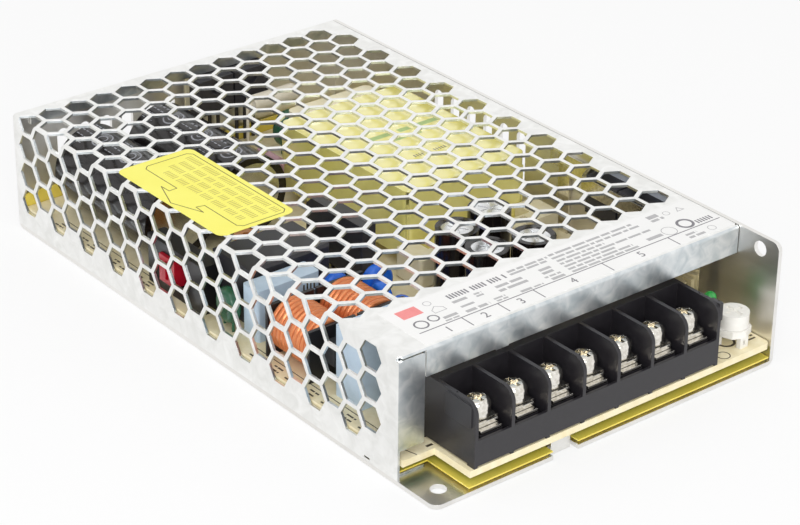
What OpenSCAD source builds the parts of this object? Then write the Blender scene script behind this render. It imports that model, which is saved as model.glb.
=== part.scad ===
// Enclosed switching power supply: a folded aluminium chassis, a honeycomb steel
// cover, and a circuit board with its terminal block and power components.
// Inside the modules x runs from the left side, y from the front and z from the
// underside. The last lines centre the case on the origin.

/* [Case] */
// Length of the case, front to back
case_length = 159; // [156:1:200]
// Width of the case
case_width = 97; // [95:1:120]
// Height of the case
case_height = 30; // [30:0.5:40]
// Thickness of the chassis sheet
chassis_t = 1; // [0.8:0.1:1.4]
// Outside radius of the chassis folds
chassis_bend_r = 1.6; // [1.2:0.1:2.4]
// Distance of the two outer mounting holes from their edges
ear_hole_inset = 4.9; // [4:0.1:6]
// Diameter of the two outer mounting holes
ear_hole_d = 3.6; // [3:0.1:4.5]
// Height of the right ear hole below the top edge
ear_hole_drop = 3.1; // [3:0.1:6]
// Diameter of the threaded mounting holes in the base
base_hole_d = 2.5; // [2:0.1:3.5]
// Distance of the base mounting holes from the front and the back
base_hole_inset_y = 21; // [19:0.5:22]
// Distance of the base mounting holes from the sides
base_hole_inset_x = 10; // [9.5:0.5:11]
// Width of the notch in the front edge of the base
notch_w = 7.1; // [6:0.1:10]
// Left side of the front notch
notch_x = 31.8; // [28:0.1:40]
// Depth of the front notch, which ends at the folded-up lug
notch_depth = 1.7; // [1:0.1:3]

/* [Vents in the chassis] */
// Width of a vent slot
slot_w = 3.3; // [2:0.1:4]
// Spacing of the vent slots
slot_pitch = 6.2; // [5:0.1:8]
// Number of slots in the back wall
back_slots = 6; // [1:1:6]
// Number of slots in the right wall
side_slots = 6; // [1:1:8]
// Height of the slots above the underside
slot_bottom = 9.6; // [7:0.1:12]

/* [Honeycomb cover] */
// Thickness of the cover sheet
cover_t = 0.6; // [0.5:0.1:0.9]
// Spacing of the honeycomb holes across the cover
hex_pitch = 7.2; // [6.8:0.05:9]
// Spacing of the rows of holes along the cover
hex_row = 6.29; // [6:0.01:8]
// Width of a honeycomb hole between flats
hex_flat = 6.2; // [4:0.05:6.4]
// Length of the hole pattern that the fold takes up
fold_length = 0.65; // [0:0.05:1]
// Distance of the last row of holes from the back edge
hex_back = 5.7; // [5:0.1:9]
// Length of the plain area at the front of the top
plain_front = 33.5; // [31:0.5:60]
// Height of the plain band along the bottom of the side
plain_side = 7; // [6:0.5:12]
// Setback of the cover's front from the chassis front
hood_y = 12.1; // [11.8:0.1:14]
// Height of the hood over the terminal block
hood_h = 6.8; // [4:0.1:7]
// Width of the front flange at the left corner
flange_w = 6.9; // [5:0.1:9]
// Width of the lip that stands on the base
lip_w = 8; // [6:0.5:8]
// Height of the flange inside the back wall
rear_flange_h = 3.2; // [2:0.1:3.4]
// Gap between the cover and the chassis walls
cover_gap = 0.15; // [0.05:0.05:0.4]

/* [Board and insulating sheet] */
// Thickness of the circuit board
board_t = 1.6; // [1:0.1:2]
// Height of the board's underside
board_z = 4.3; // [4:0.1:6]
// Gap between the board and the walls
board_gap = 0.3; // [0.2:0.1:0.6]
// Setback of the board from the chassis front
board_front = 0.1; // [0.05:0.05:0.6]
// Width of the cut-out in the board's front left corner
corner_cut_w = 9.2; // [8.6:0.1:9.4]
// Depth of the cut-out in the board's front left corner
corner_cut_d = 11.5; // [10:0.5:11.5]
// Thickness of the insulating sheet
sheet_t = 0.35; // [0.2:0.05:0.5]
// Gap between the cover's lip and the insulating sheet
sheet_gap = 0.2; // [0.05:0.05:0.4]
// Height of the insulating sheet's fold at the back
sheet_fold_h = 7.4; // [4:0.1:10]

/* [Terminal block] */
// Number of terminals
terminals = 7; // [7:1:7]
// Room beside the terminal block for the trimmer and the lamp
trimmer_room = 16.6; // [15.6:0.1:18]
// Left end of the terminal block
block_x = 10.25; // [9.8:0.05:12]
// Setback of the block's front from the chassis front
block_front = 0.1; // [0.05:0.05:0.6]
// Depth of the terminal block
block_depth = 18; // [16:0.5:19]
// Thickness of the dividers
divider_t = 0.9; // [0.8:0.05:1.2]
// Height of the front sill above the board
sill_h = 6.5; // [6.2:0.1:7.4]
// Height of the dividers above the board
divider_h = 15.2; // [14.5:0.1:16.6]
// Setback of the cells' back wall from the block's front
cell_depth = 12.7; // [12:0.1:14]
// Diameter of the terminal screws' heads
terminal_head_d = 6; // [5:0.1:6.4]
// Diameter of the terminal screws
terminal_screw_d = 3.5; // [3:0.1:4]
// Width of the square wire clamps
clamp_w = 7; // [6.6:0.1:7.4]

/* [Adjustments] */
// Diameter of the trimmer knob
knob_d = 7; // [6:0.1:7.6]
// Height of the trimmer knob
knob_h = 3.45; // [3:0.05:5]
// Diameter of the indicator lamp
led_d = 3; // [2:0.1:3.4]
// Length of the voltage selector
selector_l = 22; // [18:0.5:24]
// Length of the selector's slider
slider_l = 6; // [5:0.1:8]
// Travel of the selector's slider
slider_travel = 4; // [3:0.1:4.4]
// Clearance round the selector's slider
slider_gap = 0.12; // [0.1:0.01:0.2]

/* [Transformer] */
// Room between the transformer and the right wall
transformer_side = 7; // [6:0.5:12]
// Room behind the transformer's taped block
transformer_back = 34; // [33:0.5:44]
// Height of the transformer's top above the underside
transformer_top = 26; // [24:0.1:28]
// Share of the transformer's width in one outer leg of its core
core_share = 0.14; // [0.11:0.01:0.17]
// Thickness of the wrapping tape
tape_t = 0.4; // [0.2:0.05:0.6]

/* [Capacitors and coils] */
// Diameter of the two input capacitors
input_cap_d = 20; // [16:0.5:20]
// Room behind the two input capacitors
input_cap_back = 8; // [7:0.5:16]
// Diameter of the four output capacitors
output_cap_d = 10; // [8:0.1:10]
// Height of the four output capacitors
output_cap_h = 20; // [12:0.5:21]
// Thickness of the capacitors' sleeves
sleeve_t = 0.2; // [0.1:0.05:0.3]
// Diameter of the line filter's two windings
filter_coil_d = 13; // [10:0.1:13]
// Length of the line filter's two windings
filter_coil_l = 14; // [12:0.5:15]
// Outside diameter of the output choke
choke_d = 16; // [12:0.5:16]
// Height of the output choke
choke_h = 11.6; // [8:0.1:14]
// Diameter of the blue disc capacitors
disc_d = 7.4; // [6:0.1:8]

/* [Hidden] */
$fn = 48;
eps = 0.01;

// Chassis
wall_x = case_width - chassis_t;
wall_y = case_length - chassis_t;
top_z = case_height - cover_t;
ear_r = 2;
slot_top_back = case_height - 7;
slot_top_side = case_height - 4.4;
back_slot_x = 12.9;
side_slot_y = 84.7;
lug_w = 5.4;
boss_d = 8;
boss_hole_d = 3.06;
board_screw_d = 3;
lip_screw_x = 4.2;
lip_screw_y = [42, 100, case_length - 17];
countersink_h = chassis_t - 0.1;
countersink_rim = 1.1;

// Cover
hex_y0 = case_length - hex_back;
cover_right = wall_x - cover_gap;
top_rows = floor((hex_y0 - plain_front) / hex_row) + 1;
side_rows = floor((hex_y0 - hood_y - hex_pitch * 1.2) / hex_row) + 1;
cover_bend_r = 0.9;
lip_front = hood_y + 1.3;

// Board
board_top = board_z + board_t;
board_left = cover_t + board_gap;
board_right = wall_x - board_gap;
board_back = wall_y - 1.2;
sheet_z = chassis_t + cover_t + sheet_gap;
sheet_front = board_front;
board_corner_r = 1;

// Terminal block
terminal_pitch = (wall_x - trimmer_room - block_x - divider_t) / terminals;
block_w = terminals * terminal_pitch + divider_t;
sill_z = board_top + sill_h;
divider_z = board_top + divider_h;
plate_z = sill_z + 0.1;
plate_t = 0.8;
plate_top = plate_z + plate_t;
terminal_y = block_front + 5.9;
clamp_t = 1;
clamp_z = plate_top + 0.1;
washer_t = 1;
head_h = 2.8;
head_z = clamp_z + clamp_t + washer_t + 0.2;
shank_l = 8.2;
well_d = terminal_screw_d + 0.9;
shank_gap = 0.1;

// Adjustments
trimmer_x = wall_x - 6.7;
trimmer_y = board_front + 5.5;
ring_h = 1.7;
ring_z = board_top + 2.6;
knob_z = ring_z + ring_h + 0.05;
knob_pin_d = 3;
led_x = wall_x - 7.8;
led_y = hood_y - 0.1;
led_top = board_top + 10.1;
selector_y = 86.1;
selector_d = 5;
selector_h = 12;
selector_x = 3.6;
slider_proud = 0.8;
slider_in = 2.8;
slider_h = 6.8;
slot_l = slider_l + slider_travel + 2 * slider_gap;
slider_y = selector_y + (selector_l + slot_l) / 2 - slider_gap - slider_l;

// Transformer
tr_x = 53;
tr_y = 75;
transformer_w = wall_x - transformer_side - tr_x;
transformer_l = wall_y - transformer_back - tr_y;
core_leg = transformer_w * core_share;
boss_points = [[16, 26.5], [wall_x - 27, 27], [wall_x - 16, tr_y + transformer_l + 12],
    [tr_x - 1, tr_y + transformer_l + 14]];
core_z = board_top + 3;
core_h = transformer_top - tape_t - 3 - core_z;
winding_gap = 0.3;

// Components
cap_y = 112;
input_cap_l = wall_y - input_cap_back - cap_y;
cap_x = [15.5, 35.8];
cap_z = board_top + 0.1 + input_cap_d / 2;
out_caps = [[62.9, 57.8], [50.9, 54.8], [50.1, 43.5], [61.9, 41.5]];
filter_x = [10.6, 24.1];
filter_y = 48.5;
filter_z = board_top + 0.4 + filter_coil_d / 2;
filter_bore = 7;
package_w = 10.2;
package_t = 4.5;
package_h = 9.4;
package_lift = top_z - 2.8 - package_h - board_top;
pad_t = 0.3;
rectifier_y = 56.3;
choke_x = wall_x - choke_d / 2 - 2.2;
choke_y = 24.2;
line_choke_top = 20;
clip_t = 0.8;

// ---------------------------------------------------------------- helpers

// Moves the case so that its middle stands on the origin.
module centred() translate([-case_width / 2, -case_length / 2, 0]) children();

// A flat shape given in y and z, thickened towards +x from x = at.
module panel_x(at, t) translate([at, 0, 0]) rotate([90, 0, 90]) linear_extrude(t) children();

// A flat shape given in x and z, thickened towards +y from y = at.
module panel_y(at, t) translate([0, at + t, 0]) rotate([90, 0, 0]) linear_extrude(t) children();

// The waste outside a rounded corner whose point is at the origin.
module corner_waste(r) difference() {
    translate([-1, -1]) square(r + 1);
    translate([r, r]) circle(r);
}

// A block with rounded upright edges, from corner a to corner b.
module block(a, b, r) translate([a[0], a[1], a[2]]) linear_extrude(b[2] - a[2])
    rounded(b[0] - a[0], b[1] - a[1], r);

module rounded(w, l, r) difference() {
    square([w, l]);
    corner_waste(r);
    translate([w, 0]) mirror([1, 0]) corner_waste(r);
    translate([0, l]) mirror([0, 1]) corner_waste(r);
    translate([w, l]) rotate(180) corner_waste(r);
}

// An upright slot with round ends, centred on a in its own plane.
module slot(a, low, high) {
    translate([a - slot_w / 2, low + slot_w / 2]) square([slot_w, high - low - slot_w]);
    translate([a, low + slot_w / 2]) circle(d = slot_w);
    translate([a, high - slot_w / 2]) circle(d = slot_w);
}

// A round wire leg from the board up to a height.
module leg(x, y, top, d = 0.8) translate([x, y, board_top]) cylinder(d = d, h = top - board_top, $fn = 16);

// ---------------------------------------------------------------- chassis

module base_outline() difference() {
    square([case_width, case_length]);
    corner_waste(ear_r);
    translate([notch_x, -1]) square([notch_w, notch_depth + 1]);
    for (x = [notch_x, notch_x + notch_w - (notch_w - lug_w) / 2])
        translate([x, 0]) square([(notch_w - lug_w) / 2, notch_depth + 2]);
    translate([ear_hole_inset, ear_hole_inset]) circle(d = ear_hole_d);
    for (x = [base_hole_inset_x, case_width - base_hole_inset_x], y = [base_hole_inset_y, case_length - base_hole_inset_y])
        translate([x, y]) circle(d = base_hole_d);
    for (y = lip_screw_y) translate([lip_screw_x, y]) circle(d = boss_hole_d);
}

module side_wall_outline() difference() {
    square([case_length, case_height]);
    translate([0, case_height]) mirror([0, 1]) corner_waste(ear_r);
    translate([ear_hole_inset + 0.6, case_height - ear_hole_drop]) circle(d = ear_hole_d);
    for (i = [0 : side_slots - 1])
        slot(side_slot_y + i * slot_pitch, slot_bottom, slot_top_side);
}

module back_wall_outline() difference() {
    translate([cover_t + board_gap, 0]) square([case_width - cover_t - board_gap, top_z - cover_gap]);
    for (i = [0 : back_slots - 1]) slot(back_slot_x + i * slot_pitch, slot_bottom, slot_top_back);
}

// Embossed stand-off that carries the board, hollow from below.
module boss() difference() {
    cylinder(d1 = boss_d + 1.5, d2 = boss_d - 1.5, h = board_z);
    translate([0, 0, -eps]) cylinder(d1 = boss_d - 1, d2 = boss_d - 3.6, h = board_z - chassis_t);
    cylinder(d = boss_hole_d, h = board_z + 1);
}

module chassis() color("#b9bcbd") difference() {
    union() {
        linear_extrude(chassis_t) difference() {
            base_outline();
            for (p = boss_points) translate(p) circle(d = boss_d - 1.2);
        }
        panel_x(wall_x, chassis_t) side_wall_outline();
        panel_y(wall_y, chassis_t) back_wall_outline();
        translate([notch_x + (notch_w - lug_w) / 2, notch_depth, 0]) cube([lug_w, chassis_t, board_z]);
        for (p = boss_points) translate([p[0], p[1], 0]) boss();
    }
    translate([case_width, -1, 0]) mirror([1, 0, 0]) rotate([-90, -90, 0]) linear_extrude(case_length + 2)
        corner_waste(chassis_bend_r);
    translate([-1, case_length, 0]) rotate([90, 0, 90]) mirror([1, 0]) linear_extrude(case_width + 2)
        corner_waste(chassis_bend_r);
    for (y = lip_screw_y) translate([lip_screw_x, y, -eps]) countersink();
}

module countersink(gap = 0.05) cylinder(r1 = board_screw_d / 2 + countersink_rim + gap,
    r2 = board_screw_d / 2 + gap, h = countersink_h);

// ---------------------------------------------------------------- cover

module hex() circle(d = hex_flat / cos(30), $fn = 6);

// Number of holes that fit between a first place and a limit.
function holes(first, limit) = floor((limit - first) / hex_pitch) + 1;

function row_shift(k) = (k % 2) * hex_pitch / 2;

module top_outline() difference() {
    translate([0, hood_y]) square([cover_right, case_length - hood_y]);
    translate([cover_right, hood_y]) rotate(45) square(1.8, center = true);
    for (k = [0 : top_rows - 1]) translate([fold_length + row_shift(k), hex_y0 - k * hex_row])
        for (j = [0 : holes(fold_length + row_shift(k), case_width - 4.5) - 1])
            translate([j * hex_pitch, 0]) rotate(30) hex();
}

module side_outline() difference() {
    translate([hood_y, chassis_t]) square([case_length - hood_y, case_height - chassis_t]);
    for (k = [0 : side_rows - 1]) translate([hex_y0 - k * hex_row, case_height - row_shift(k)])
        for (j = [(k % 2 == 0 && k >= top_rows ? 1 : 0) : holes(row_shift(k), case_height - plain_side) - 1])
            translate([0, -j * hex_pitch]) hex();
    translate([hood_y + 9.2, 0]) square([1.8, chassis_t + 1]);
}

module mesh_cover() color("#c9ccca") difference() {
    union() {
        translate([0, 0, top_z]) linear_extrude(cover_t) top_outline();
        panel_x(0, cover_t) side_outline();
        hood();
        lip();
        rear_flange();
    }
    translate([0, -1, case_height]) rotate([-90, 0, 0]) linear_extrude(case_length + 2) corner_waste(cover_bend_r);
    translate([-1, hood_y, case_height]) rotate([0, 90, 0]) linear_extrude(case_width + 2) corner_waste(cover_bend_r);
    translate([0.4, hood_y + 0.2, case_height - 0.5]) sphere(r = 0.75, $fn = 24);
}

// Front strip over the terminals and the flange beside it.
module hood() {
    panel_y(hood_y, cover_t) translate([flange_w + 0.3, case_height - hood_h])
        square([cover_right - flange_w - 0.3, hood_h]);
    panel_y(hood_y, cover_t) translate([25.8, case_height - hood_h - 0.3]) square([3.4, 1]);
    panel_y(hood_y, cover_t) translate([0, board_top + 2]) difference() {
        square([flange_w, case_height - board_top - 2 - cover_bend_r]);
        translate([flange_w, case_height - board_top - 2 - cover_bend_r]) rotate(180) corner_waste(0.8);
    }
}

module lip() difference() {
    translate([0, lip_front, chassis_t]) cube([lip_w, case_length - lip_front - chassis_t - 1, cover_t]);
    for (y = lip_screw_y) translate([lip_screw_x, y, 0]) cylinder(d = boss_hole_d, h = board_z);
}

module rear_flange() translate([board_left + 3, wall_y - cover_gap - cover_t, case_height - rear_flange_h])
    cube([cover_right - board_left - 6, cover_t, rear_flange_h]);

// ---------------------------------------------------------------- sheet and board

module inner_outline(left, right, front, back, cut_w, cut_d) difference() {
    translate([left, front]) square([right - left, back - front]);
    translate([-1, -1]) square([cut_w + 1, cut_d + 1]);
}

module insulating_sheet() color("#c9b93a") {
    translate([0, 0, sheet_z]) linear_extrude(sheet_t) difference() {
        inner_outline(board_left, board_right, sheet_front, wall_y - 1 + sheet_t / 2, corner_cut_w - 0.2, corner_cut_d + 2);
        translate([notch_x, -1]) square([notch_w, notch_depth + chassis_t + 1.8]);
        for (p = boss_points) translate(p) circle(d = boss_d + 2);
        for (y = lip_screw_y) translate([lip_screw_x, y]) circle(d = boss_hole_d + 1);
    }
    translate([board_left, wall_y - 1, sheet_z]) cube([board_right - board_left, sheet_t, sheet_fold_h]);
}

module circuit_board() color("#d9c98f") translate([0, 0, board_z]) linear_extrude(board_t) difference() {
    inner_outline(board_left, board_right, board_front, board_back, corner_cut_w, corner_cut_d);
    translate([board_right, board_front]) mirror([1, 0]) corner_waste(board_corner_r);
    for (p = boss_points) translate(p) circle(d = board_screw_d + 0.4);
}

// Pan-head screw with a cross recess, head underside at the origin.
module pan_screw(d, head_d, head_h, length) {
    difference() {
        rotate_extrude() difference() {
            square([head_d / 2, head_h]);
            translate([head_d / 2, head_h]) rotate(180) corner_waste(head_h * 0.45);
            translate([-1, -1]) square([1, head_h + 2]);
        }
        for (a = [0, 90]) rotate(a) translate([-head_d * 0.31, -0.45, head_h * 0.5]) cube([head_d * 0.62, 0.9, head_h]);
    }
    translate([0, 0, -length]) cylinder(d = d, h = length + eps);
}

module board_screws() color("#d8d9d6") for (p = boss_points)
    translate([p[0], p[1], board_top]) pan_screw(board_screw_d, 5.6, 2, board_top - chassis_t);

module cover_screws() color("#d8d9d6") for (y = lip_screw_y) translate([lip_screw_x, y, 0]) difference() {
    union() {
        countersink(0);
        cylinder(d = board_screw_d, h = chassis_t + cover_t + sheet_gap * 0.5);
    }
    for (a = [0, 90]) rotate(a) translate([-1.5, -0.35, -eps]) cube([3, 0.7, 0.6]);
}

// ---------------------------------------------------------------- labels

module rating_label() color("#f2f2ef") translate([7.8, hood_y + cover_bend_r, case_height])
    cube([cover_right - 7.8 - 0.6, 15.8, 0.05]);

module yellow_sticker() color("#f6e765") translate([2.2, 76.6, case_height])
    linear_extrude(0.1) rounded(20.5, 41.2, 2);

// ---------------------------------------------------------------- terminal block

function terminal_x(i) = block_x + divider_t / 2 + (i + 0.5) * terminal_pitch;

// Upright outline of a divider in y and z.
module divider_outline() difference() {
    translate([block_front, board_top]) square([block_depth, divider_h]);
    translate([block_front, divider_z]) mirror([0, 1]) corner_waste(3.2);
}

module terminal_block() color("#4a484d") difference() {
    union() {
        // floor and sill under the cells
        translate([block_x, block_front, board_top + 0.5]) cube([block_w, block_depth, sill_h - 0.5 - 2]);
        translate([block_x, block_front, board_top + 0.5]) cube([block_w, 0.7, sill_h - 0.5]);
        // back wall of the cells
        translate([block_x, block_front + cell_depth, board_top + 0.5])
            cube([block_w, block_depth - cell_depth, divider_h - 0.5]);
        for (i = [0 : terminals]) panel_x(block_x + i * terminal_pitch, divider_t) divider_outline();
        // interlocking nib on the right end and low pad on the left end
        translate([block_x + block_w - eps, block_front + 0.6, divider_z - 4.6]) cube([1.1, 3, 4.2]);
        panel_x(block_x - 0.25, 0.3) translate([block_front + 1, divider_z - 6.2]) rounded(8.5, 5.4, 0.8);
        // pillars that carry the plates
        for (i = [0 : terminals - 1]) translate([terminal_x(i) - 3, block_front + 1.2, board_top + 1])
            cube([6, cell_depth - 1.2 + eps, plate_z - board_top - 1]);
    }
    for (i = [0 : terminals - 1]) translate([terminal_x(i), terminal_y, board_top + 1.2]) cylinder(d = well_d, h = sill_h);
    for (i = [0 : terminals]) translate([block_x + i * terminal_pitch - 1, block_front + 2.2, board_top - 1])
        cube([divider_t + 2, block_depth - 4.4, 1.5]);
    // dimples in the tops of the two end walls
    for (i = [0, terminals]) translate([block_x + i * terminal_pitch + divider_t / 2, terminal_y + 0.5, divider_z - 0.4])
        cylinder(d = 0.5, h = 1, $fn = 16);
}

module terminal_plates() color("#dcdcd6") for (i = [0 : terminals - 1]) difference() {
    translate([terminal_x(i) - 2.7, block_front + 1.2, plate_z]) cube([5.4, cell_depth - 1.3, plate_t]);
    translate([terminal_x(i), terminal_y, plate_z - 1]) cylinder(d = terminal_screw_d + shank_gap, h = plate_t + 2);
}

// Screw with its captive spring washer under the head.
module terminal_screw(i) color("#e2e2de") translate([terminal_x(i), terminal_y, head_z]) {
    pan_screw(terminal_screw_d, terminal_head_d, head_h, shank_l);
    translate([0, 0, -washer_t]) cylinder(d = terminal_head_d - 0.4, h = washer_t + eps);
}

// Square washer whose edges are turned up into ribs.
module wire_clamp(i) color("#d9d9d4") translate([terminal_x(i), terminal_y, clamp_z]) difference() {
    rotate([90, 0, 90]) translate([0, 0, -clamp_w / 2]) linear_extrude(clamp_w) polygon([
        [-clamp_w / 2, 0], [-clamp_w / 2 + 0.6, 0], [-clamp_w / 2 + 1, 0.3], [clamp_w / 2 - 1, 0.3],
        [clamp_w / 2 - 0.6, 0], [clamp_w / 2, 0], [clamp_w / 2, clamp_t], [-clamp_w / 2, clamp_t]]);
    translate([0, 0, -1]) cylinder(d = terminal_screw_d + 0.3, h = clamp_t + 3);
    for (s = [-1, 1]) translate([-clamp_w, s * (clamp_w / 2 - 0.7) - 0.25, clamp_t - 0.4]) cube([2 * clamp_w, 0.5, 1]);
    for (a = [0 : 90 : 270]) rotate(a + 45) translate([clamp_w / 2 + 0.9, -2, -1]) cube([3, 4, 4]);
}

// ---------------------------------------------------------------- adjustments

module trimmer_base() color("#f1f0ea") translate([trimmer_x, trimmer_y, 0]) difference() {
    union() {
        translate([0, 0, ring_z]) cylinder(d = knob_d + 1.2, h = ring_h, $fn = 8);
        for (a = [-90, 30, 150]) rotate(a) translate([knob_d / 2 - 0.9, -1.2, board_top]) cube([1.2, 2.4, ring_z - board_top + eps]);
    }
    translate([0, 0, ring_z - 1]) cylinder(d = knob_pin_d + 0.1, h = ring_h + 2);
    rotate(-90) translate([knob_d / 2 - 2, -0.3, board_top + 0.8]) cube([3, 0.6, 1.1]);
}

module trimmer_knob() color("#f4f3ee") translate([trimmer_x, trimmer_y, 0]) {
    difference() {
        translate([0, 0, knob_z]) cylinder(d = knob_d, h = knob_h);
        for (a = [0, 90]) rotate(a) translate([-0.5, -knob_d * 0.34, knob_z + knob_h - 0.5]) cube([1, knob_d * 0.68, 1]);
    }
    translate([0, 0, ring_z + 0.1]) cylinder(d = knob_pin_d, h = ring_h);
}

module status_led() color("#58c46b") translate([led_x, led_y, 0]) {
    translate([0, 0, board_top + 3.6]) cylinder(d = led_d + 0.8, h = 0.8);
    translate([0, 0, board_top + 3.6]) cylinder(d = led_d, h = led_top - board_top - 3.6 - led_d / 2);
    translate([0, 0, led_top - led_d / 2]) intersection() {
        sphere(d = led_d);
        translate([0, 0, -eps]) cylinder(d = led_d, h = led_d);
    }
    for (x = [-0.9, 0.9]) translate([x, 0, board_top]) cylinder(d = 0.5, h = 3.7, $fn = 16);
}

module selector_body() color("#34333a") difference() {
    block([selector_x, selector_y, board_top], [selector_x + selector_d, selector_y + selector_l, board_top + selector_h], 0.6);
    translate([selector_x - 1, selector_y + (selector_l - slot_l) / 2, board_top + 2.8 - slider_gap])
        cube([1 + slider_in + 0.2, slot_l, slider_h + 2 * slider_gap]);
}

module selector_slider() color("#c02634") translate([selector_x - slider_proud, slider_y, board_top + 2.8]) difference() {
    cube([slider_proud + slider_in, slider_l, slider_h]);
    translate([-1, slider_l / 2 - 0.6, 1]) cube([1 + slider_proud, 1.2, slider_h - 2]);
}

// ---------------------------------------------------------------- transformer

module transformer_core() color("#3a3a3e") translate([tr_x + tape_t, tr_y + tape_t, core_z]) {
    w = transformer_w - 2 * tape_t;
    l = transformer_l - 2 * tape_t;
    difference() {
        cube([w, l, core_h]);
        translate([core_leg, core_leg + 2, -1]) cube([w - 2 * core_leg, l - 2 * core_leg - 4, core_h + 2]);
    }
    translate([w / 2 - core_leg, core_leg, 0]) cube([2 * core_leg, l - 2 * core_leg, core_h]);
}

// Yellow-taped winding round the middle leg of the core.
module transformer_winding() color("#e4dc55") {
    c = tr_x + transformer_w / 2;
    wide = transformer_w / 2 - tape_t - core_leg - winding_gap;
    y0 = tr_y + tape_t + core_leg + 2 + winding_gap;
    y1 = tr_y + transformer_l - tape_t - core_leg - 2 - winding_gap;
    difference() {
        block([c - wide, y0, core_z - 2], [c + wide, y1, core_z + core_h + 2], 1.5);
        translate([c - core_leg - winding_gap, y0 - 1, core_z - winding_gap])
            cube([2 * (core_leg + winding_gap), y1 - y0 + 2, core_h + 2 * winding_gap]);
    }
}

// Moulded bobbin rails with pins, in front of the core and behind it.
module transformer_bobbin() color("#ece6d2") {
    difference() {
        block([tr_x - 3.5, tr_y - 9.4, board_top + 0.4], [tr_x + transformer_w + 3, tr_y - 0.1, board_top + 7.4], 1);
        translate([tr_x + 2, tr_y - 5.4, board_top + 3]) cube([transformer_w - 5, 6, 5]);
        for (i = [1 : 5]) translate([tr_x + i * transformer_w / 6 - 1, tr_y - 10, board_top + 4.6]) cube([1.6, 4, 4]);
    }
    difference() {
        block([tr_x + 6, tr_y + transformer_l + 0.1, board_top + 0.4],
            [tr_x + transformer_w - 5, tr_y + transformer_l + 5.4, transformer_top - 0.4], 1.6);
        translate([tr_x + 9, tr_y + transformer_l + 2, board_top + 4]) cube([transformer_w - 17, 5, 9]);
    }
    translate([tr_x + 8, tr_y - 1, board_top + 0.4]) cube([transformer_w - 16, transformer_l + 2, core_z - board_top - 2.8]);
    for (i = [0 : 5], y = [tr_y - 6.5, tr_y + transformer_l + 3]) leg(tr_x + 9 + i * (transformer_w - 18) / 5, y, board_top + 1);
}

// Tape wrapped over the core and the winding.
module transformer_tape() color("#e9e16a") difference() {
    block([tr_x, tr_y, core_z], [tr_x + transformer_w, tr_y + transformer_l, transformer_top], 2);
    block([tr_x + tape_t, tr_y + tape_t, core_z - 1],
        [tr_x + transformer_w - tape_t, tr_y + transformer_l - tape_t, transformer_top - tape_t], 0.1);
}

// ---------------------------------------------------------------- capacitors

// Can with a rolled groove near its foot, lying or standing along z.
module can(d, l, groove = 2.6) rotate_extrude() difference() {
    square([d / 2, l]);
    translate([d / 2, l]) rotate(180) corner_waste(0.9);
    translate([d / 2, 0]) mirror([1, 0]) corner_waste(0.7);
    translate([d / 2 + 0.35, groove]) circle(r = 0.75, $fn = 24);
    translate([-2, -1]) square([2, l + 2]);
}

// Thin sleeve that laps over both ends of a can.
module sleeve(d, l, lap) difference() {
    translate([0, 0, -sleeve_t]) cylinder(d = d + 2 * sleeve_t, h = l + 2 * sleeve_t);
    cylinder(d = d, h = l);
    translate([0, 0, -1]) cylinder(d = d - 2 * lap, h = l + 2);
}

module input_capacitor_cans() color("#b8babb") for (x = cap_x) {
    d = input_cap_d - 2 * sleeve_t;
    translate([x, cap_y + input_cap_l, cap_z]) rotate([90, 0, 0]) can(d, input_cap_l);
    for (s = [-5, 5]) {
        translate([x + s, cap_y + input_cap_l - eps, cap_z - 2]) rotate([-90, 0, 0]) cylinder(d = 1, h = 1.8, $fn = 16);
        leg(x + s, cap_y + input_cap_l + 1.8, cap_z - 1.5, 1);
    }
}

module input_capacitor_sleeves() color("#2b2b2f") for (x = cap_x)
    translate([x, cap_y + input_cap_l, cap_z]) rotate([90, 0, 0]) sleeve(input_cap_d - 2 * sleeve_t, input_cap_l, 1.6);

module output_capacitor_cans() color("#cfd0ce") for (p = out_caps) {
    d = output_cap_d - 2 * sleeve_t;
    translate([p[0], p[1], board_top + sleeve_t]) difference() {
        can(d, output_cap_h);
        for (a = [0, 60, 120]) rotate(a) translate([-d * 0.28, -0.2, output_cap_h - 0.25]) cube([d * 0.56, 0.4, 1]);
    }
    for (s = [-2.5, 2.5]) leg(p[0] + s, p[1], board_top + 0.3);
}

module output_capacitor_sleeves() color("#26262b") for (p = out_caps)
    translate([p[0], p[1], board_top + sleeve_t]) sleeve(output_cap_d - 2 * sleeve_t, output_cap_h, 1.1);

// Two box capacitors across the line input.
module film_capacitors() color("#a9bcc9") {
    block([6, 68.5, board_top], [23, 74.2, board_top + 12.7], 0.7);
    block([6.1, 32.1, board_top], [24.1, 41, board_top + 17], 0.7);
    for (x = [8, 21], y = [71.3, 36.5]) leg(x, y, board_top + eps);
}

// ---------------------------------------------------------------- line filter

// Rectangular ferrite ring whose two long legs pass through the windings.
module line_filter_core() color("#3d3b3d") difference() {
    translate([filter_x[0] - 2.4, filter_y - 4.6, filter_z - 2.4])
        cube([filter_x[1] - filter_x[0] + 4.8, filter_coil_l + 9.2, 4.8]);
    translate([filter_x[0] + 2.4, filter_y - 1.2, filter_z - 4])
        cube([filter_x[1] - filter_x[0] - 4.8, filter_coil_l + 2.4, 8]);
}

module line_filter_bobbin() color("#2c2a2d") for (x = filter_x) difference() {
    union() {
        for (y = [filter_y - 0.9, filter_y + filter_coil_l])
            block([x - 6.4, y, board_top], [x + 6.4, y + 0.9, filter_z + 5.6], 0.3);
        translate([x, filter_y - eps, filter_z]) rotate([-90, 0, 0]) cylinder(d = filter_bore + 0.6, h = filter_coil_l + 2 * eps);
    }
    translate([x - 2.5, filter_y - 2, filter_z - 2.5]) cube([5, filter_coil_l + 4, 5]);
}

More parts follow.
